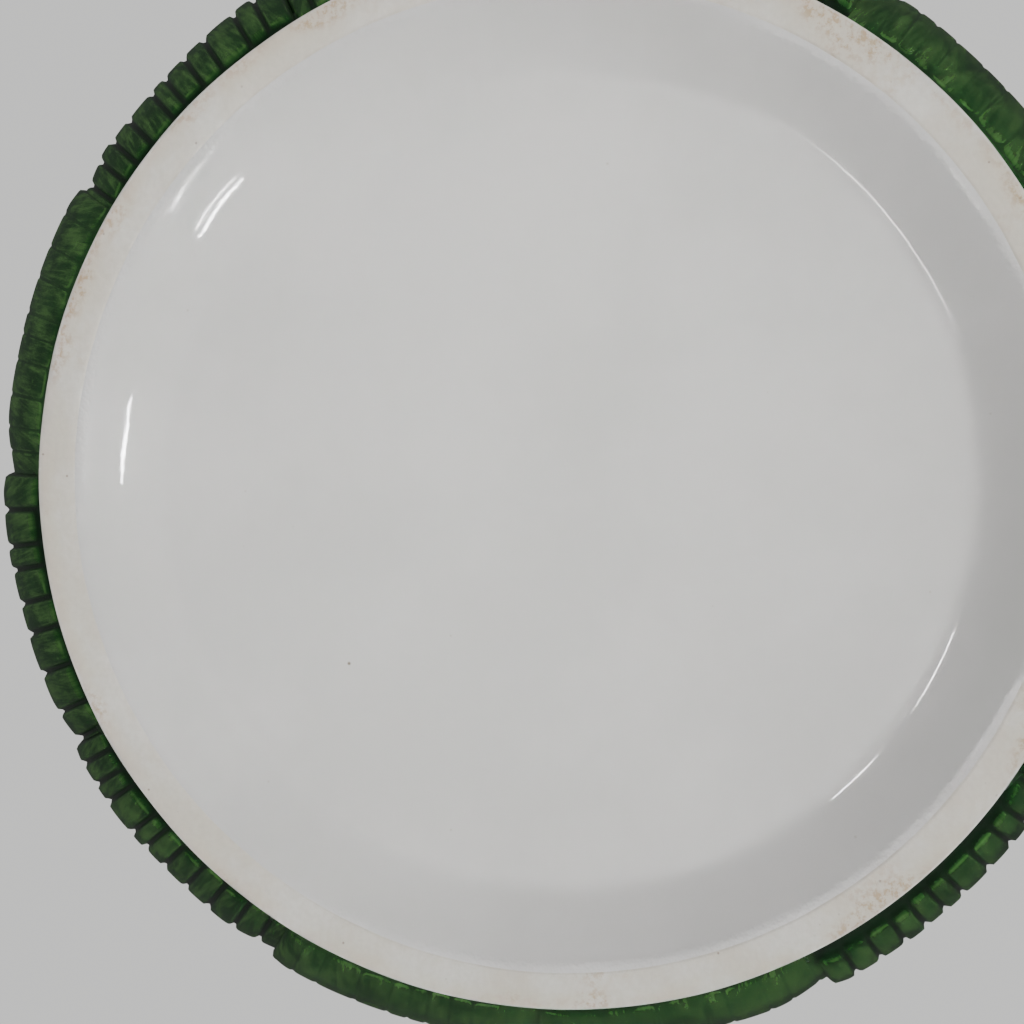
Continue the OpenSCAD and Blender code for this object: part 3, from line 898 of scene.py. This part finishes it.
def knob_bud():
    """A closed bud: two rings of four overlapping leaves round a core."""
    height = BUD_TOP - KNOB_Z
    steps = np.linspace(0.06, 0.985, 40)
    profile = [(AXIS_R, KNOB_Z)] + [(float(bud_r(t)) * 0.93, KNOB_Z + height * t) for t in steps]
    profile.append((AXIS_R, KNOB_Z + height * 0.99))
    core = lathe("bud_core", profile, 96, BUD_GREEN, closed=False)
    groove = core.data.attributes.new("groove", "FLOAT", "POINT")
    groove.data.foreach_set("value", np.full(len(core.data.vertices), 0.55, np.float32))
    core.data.attributes.new("stroke", "FLOAT_VECTOR", "POINT")
    inner_leaves = [bud_leaf(0, k, 4, 0.0, 0.93, 0.0) for k in range(4)]
    outer_leaves = [bud_leaf(1, k, 4, math.pi / 4, 0.80, 0.9 * MM) for k in range(4)]
    piece = join("knob_bud_leaves", [core] + inner_leaves + outer_leaves)
    finish(piece, "lid", "bud_green", "knob_bud")


# ---------------------------------------------------------------- handles and ladle
def tube(name, path, radius, sides, material, ridges, ridge_h, twist, up=(0, 0, 1)):
    """A round bar along a path, with a radius at each point and rounded ridges that run along it.

    twist is how far the ridges turn from end to end, in radians; up is a direction square to the path."""
    path = np.array(path, float)
    tangent = np.gradient(path, axis=0)
    tangent /= np.linalg.norm(tangent, axis=1)[:, None]
    side = np.cross(np.array(up, float)[None, :], tangent)
    side /= np.linalg.norm(side, axis=1)[:, None]
    upward = np.cross(tangent, side)
    steps = np.concatenate([[0], np.cumsum(np.linalg.norm(np.diff(path, axis=0), axis=1))])
    angles = np.linspace(0, 2 * math.pi, sides, endpoint=False)
    a, along = np.meshgrid(angles, steps)
    swing = np.abs(np.sin(ridges / 2 * (a + twist * along / steps[-1]))) ** 0.75
    r = np.asarray(radius)[:, None] - ridge_h * (1 - swing)
    sideways = np.cos(a)[..., None] * side[:, None, :]
    upwards = np.sin(a)[..., None] * upward[:, None, :]
    points = path[:, None, :] + r[..., None] * (sideways + upwards)
    faces = grid_faces(len(path), sides, wrap_columns=True) + end_caps(len(path), sides)
    stroke = np.stack([a * np.mean(radius), along, np.full_like(a, 0.3)], -1).reshape(-1, 3)
    attributes = {"stroke": stroke, "groove": np.clip(1 - swing, 0, 1).ravel() * 0.9}
    return add_object(name, points.reshape(-1, 3), faces, attributes, [material])


def handle(side, name, node):
    """A bent stalk: thick where it grows out of the wall, ridged and slightly twisted.

    side is 1 for the handle at +X and -1 for the one at -X."""
    start_x = float(body_r(HANDLE_Z)) - LEAF_T - 4 * MM
    legs = np.linspace(start_x, HANDLE_BEND_X, 16, endpoint=False)
    path = [(x, -HANDLE_BEND_R, HANDLE_Z) for x in legs]
    bend = arc(HANDLE_BEND_X, 0, HANDLE_BEND_R, HANDLE_BEND_R, -90, 90, 60)
    path += [(x, y, HANDLE_Z) for x, y in bend]
    path += [(x, HANDLE_BEND_R, HANDLE_Z) for x in reversed(legs)]
    path = np.array(path)
    reach = path[:, 0] - start_x
    radius = (HANDLE_ROD_R - 0.1 * MM) * (0.93 + 0.07 * smooth(30 * MM, 55 * MM, reach))
    radius = radius + 3.2 * MM * (1 - smooth(3 * MM, 17 * MM, reach))
    path[:, 0] *= side
    piece = tube(name, path, radius, 72, STEM_GREEN, 8, 0.85 * MM, 1.6)
    finish(piece, "tureen", "stem_green", node)


def ladle_axis(distance):
    """A point on the ladle's axis, at a distance up from the cup's rim."""
    x = CUP_X + CUP_R + distance * math.sin(LADLE_LEAN)
    return (x, 0.0, CUP_Z + distance * math.cos(LADLE_LEAN))


def ladle_cup():
    """A thin round cup with a rolled lip."""
    inner = CUP_R - CUP_T
    lip = CUP_T / 2
    profile = arc(0, 0, CUP_R, CUP_R, -89.9, -2, 44)
    profile += arc(CUP_R - lip, -0.2 * MM, lip, lip * 0.1, 0, 90, 4)
    profile += arc(0, 0, inner, inner, -2, -89.9, 40)
    piece = lathe("ladle_bowl", profile, 256, WHITE, closed=False)
    piece.data.transform(Matrix.Translation((CUP_X, 0, CUP_Z)))
    finish(piece, "ladle", "white_glaze", "ladle_cup")


def ladle_stem():
    """The ridged stalk, thinner in the middle; its lower end is cut off inside the cup's wall."""
    distances = np.linspace(-13 * MM, SHAFT_L + 2 * MM, 80)
    path = [ladle_axis(d) for d in distances]
    thinned = smooth(5 * MM, 45 * MM, distances)
    regained = smooth(0.6, 1.0, distances / SHAFT_L)
    radius = (SHAFT_R - 0.1 * MM) * (1 - 0.16 * thinned + 0.16 * regained)
    piece = tube("ladle_stem", path, radius, 56, STEM_GREEN, 6, 0.7 * MM, 1.2, up=(0, 1, 0))
    space_r = CUP_R - 1.5 * MM
    space = lathe("cup_space", arc(0, 0, space_r, space_r, -89.9, 89.9, 48), 96, WHITE, closed=False)
    space.data.transform(Matrix.Translation((CUP_X, 0, CUP_Z)))
    cut_away(piece, space)
    finish(piece, "ladle", "stem_green", "ladle_shaft")


def ladle_tip():
    """The grip: a long closed bud."""
    t = np.linspace(0, 1, 60)
    shape = mix(SHAFT_R * 0.98, GRIP_R - 0.1 * MM, smooth(0.0, 0.55, t))
    radius = shape * np.sqrt(np.clip(1 - np.clip((t - 0.6) / 0.4, 0, 1) ** 2, 0.0004, 1))
    path = [ladle_axis(SHAFT_L + d) for d in t * (GRIP_L - 0.2 * MM)]
    piece = tube("ladle_tip", path, radius, 72, BUD_GREEN, 8, 0.8 * MM, 0.5, up=(0, 1, 0))
    finish(piece, "ladle", "bud_green", "ladle_grip")


# ---------------------------------------------------------------- stage, light and camera
def one_sided(name, colour):
    """A surface seen only from its front, so that the stage never hides the object."""
    material = bpy.data.materials.new(name)
    material.use_nodes = True
    tree = material.node_tree
    tree.nodes.clear()
    output = tree.nodes.new("ShaderNodeOutputMaterial")
    choose = tree.nodes.new("ShaderNodeMixShader")
    matt = tree.nodes.new("ShaderNodeBsdfDiffuse")
    clear = tree.nodes.new("ShaderNodeBsdfTransparent")
    sides = tree.nodes.new("ShaderNodeNewGeometry")
    matt.inputs["Color"].default_value = colour
    tree.links.new(sides.outputs["Backfacing"], choose.inputs[0])
    tree.links.new(matt.outputs[0], choose.inputs[1])
    tree.links.new(clear.outputs[0], choose.inputs[2])
    tree.links.new(choose.outputs[0], output.inputs["Surface"])
    return material


def stage_plane(name, z, material):
    """A large level square that gives the object no shadow, bounced light or reflection."""
    half = 6.0
    points = [(-half, -half, z), (half, -half, z), (half, half, z), (-half, half, z)]
    plane = add_object(name, points, [(0, 1, 2, 3)], materials=[material], closed=False)
    plane.visible_shadow = False
    plane.visible_diffuse = False
    plane.visible_glossy = False


def area_light(name, azimuth, elevation, distance, width, height, power, mirrored=True, spread=180):
    """An elliptical lamp that faces the foot's centre. Angles in degrees, sizes in metres, power in watts.

    azimuth, elevation and distance are seen from the foot's centre; mirrored lamps show in the glaze."""
    a = math.radians(azimuth)
    e = math.radians(elevation)
    away = Vector((math.cos(a) * math.cos(e), math.sin(a) * math.cos(e), math.sin(e)))
    data = bpy.data.lights.new(name, "AREA")
    data.shape = "ELLIPSE"
    data.size = width
    data.size_y = height
    data.energy = power
    data.spread = math.radians(spread)
    lamp = bpy.data.objects.new(name, data)
    lamp.visible_glossy = mirrored
    lamp.location = away * distance
    lamp.rotation_euler = away.to_track_quat("Z", "Y").to_euler()
    bpy.context.scene.collection.objects.link(lamp)


def world_light():
    """A pale room: plain to the camera, nearly dark in reflections, and lighter above than below as light."""
    world = bpy.data.worlds.new("studio")
    bpy.context.scene.world = world
    world.use_nodes = True
    tree = world.node_tree
    tree.nodes.clear()
    output = tree.nodes.new("ShaderNodeOutputWorld")
    choose = tree.nodes.new("ShaderNodeMixShader")
    seen = tree.nodes.new("ShaderNodeBackground")
    felt = tree.nodes.new("ShaderNodeBackground")
    gloss = tree.nodes.new("ShaderNodeMixShader")
    mirrored = tree.nodes.new("ShaderNodeBackground")
    path = tree.nodes.new("ShaderNodeLightPath")
    seen.inputs[0].default_value = rgb(0.80, 0.80, 0.79)
    height = tree.nodes.new("ShaderNodeSeparateXYZ")
    tree.links.new(tree.nodes.new("ShaderNodeTexCoord").outputs["Generated"], height.inputs[0])
    sky = tree.nodes.new("ShaderNodeMapRange")
    sky.interpolation_type = "SMOOTHSTEP"
    for key, value in (("From Min", -0.04), ("From Max", 0.2), ("To Min", 0.11), ("To Max", 0.72)):
        sky.inputs[key].default_value = value
    tree.links.new(height.outputs["Z"], sky.inputs["Value"])
    tree.links.new(sky.outputs["Result"], felt.inputs["Strength"])
    felt.inputs[0].default_value = rgb(1.0, 1.0, 1.02)
    mirrored.inputs[0].default_value = rgb(0.05, 0.05, 0.05)
    tree.links.new(path.outputs["Is Glossy Ray"], gloss.inputs[0])
    tree.links.new(felt.outputs[0], gloss.inputs[1])
    tree.links.new(mirrored.outputs[0], gloss.inputs[2])
    tree.links.new(path.outputs["Is Camera Ray"], choose.inputs[0])
    tree.links.new(gloss.outputs[0], choose.inputs[1])
    tree.links.new(seen.outputs[0], choose.inputs[2])
    tree.links.new(choose.outputs[0], output.inputs["Surface"])


def camera():
    """Under the foot, nearly square on, with both handles beyond the top and the bottom of the view."""
    # the foot's centre and upward axis as the camera sees them: to the right, down and ahead
    foot_centre = Vector((7.563 * MM, -4.269 * MM, 176.47 * MM))
    axis = Vector((0.0611, -0.0404, 1.0)).normalized()
    half_view = 0.49854  # half the picture's width over the lens's focal length
    across = (Vector((1, 0, 0)) - axis * axis.x).normalized()
    down = axis.cross(across)
    to_camera = Matrix((
        (-down.x, across.x, axis.x),
        (-down.y, across.y, axis.y),
        (-down.z, across.z, axis.z),
    ))
    to_object = to_camera.transposed()
    eye = -(to_object @ foot_centre)
    right = to_object @ Vector((1, 0, 0))
    up = to_object @ Vector((0, -1, 0))
    back = to_object @ Vector((0, 0, -1))
    data = bpy.data.cameras.new("camera")
    data.angle = 2 * math.atan(half_view)
    data.clip_start = 0.01
    data.clip_end = 20
    eye_object = bpy.data.objects.new("camera", data)
    eye_object.matrix_world = Matrix((
        (right.x, up.x, back.x, eye.x),
        (right.y, up.y, back.y, eye.y),
        (right.z, up.z, back.z, eye.z),
        (0, 0, 0, 1),
    ))
    bpy.context.scene.collection.objects.link(eye_object)
    bpy.context.scene.camera = eye_object


def studio():
    """A pale floor; soft lamps above; below, thin lamps that streak the cove, a beam and a soft one."""
    stage_plane("floor", 0.0, one_sided("pale_paper", rgb(0.78, 0.78, 0.77)))
    # name, azimuth, elevation, distance, width, height, power
    area_light("key_above", -60, 72, 1.2, 0.5, 0.5, 7)
    area_light("window_above", -22, 55, 1.3, 0.25, 0.45, 5, mirrored=False)
    area_light("fill_above", 130, 45, 1.4, 1.0, 1.0, 4, mirrored=False)
    area_light("low_corner", 132, -38.5, 0.9, 0.12, 0.010, 0.5)
    area_light("low_corner_pair", 132, -36.9, 0.9, 0.12, 0.004, 0.2)
    area_light("low_side", 97, -38, 0.9, 0.13, 0.012, 0.7)
    area_light("low_far", 230, -59, 0.9, 0.30, 0.016, 1.6)
    area_light("low_left", 293, -59, 0.9, 0.09, 0.022, 1.0)
    area_light("low_left_pair", 312, -59, 0.9, 0.08, 0.022, 0.9)
    area_light("beam_below", 110, -42, 0.9, 0.22, 0.15, 0.090, mirrored=False, spread=9)
    area_light("soft_below", 8, -56, 0.38, 0.22, 0.22, 0.44, mirrored=False)
    world_light()


bowl_body()
foot_band()
collar_band()
rim_lip()
for number in range(1, LEAVES + 1):
    wall_leaf(number)
handle(1, "handle_stalk_right", "handle_right")
handle(-1, "handle_stalk_left", "handle_left")
lid_dome()
lid_locating_ring()
for number in range(1, LID_LEAVES + 1):
    lid_leaf(number)
knob_calyx()
knob_bud()
ladle_cup()
ladle_stem()
ladle_tip()
studio()
camera()
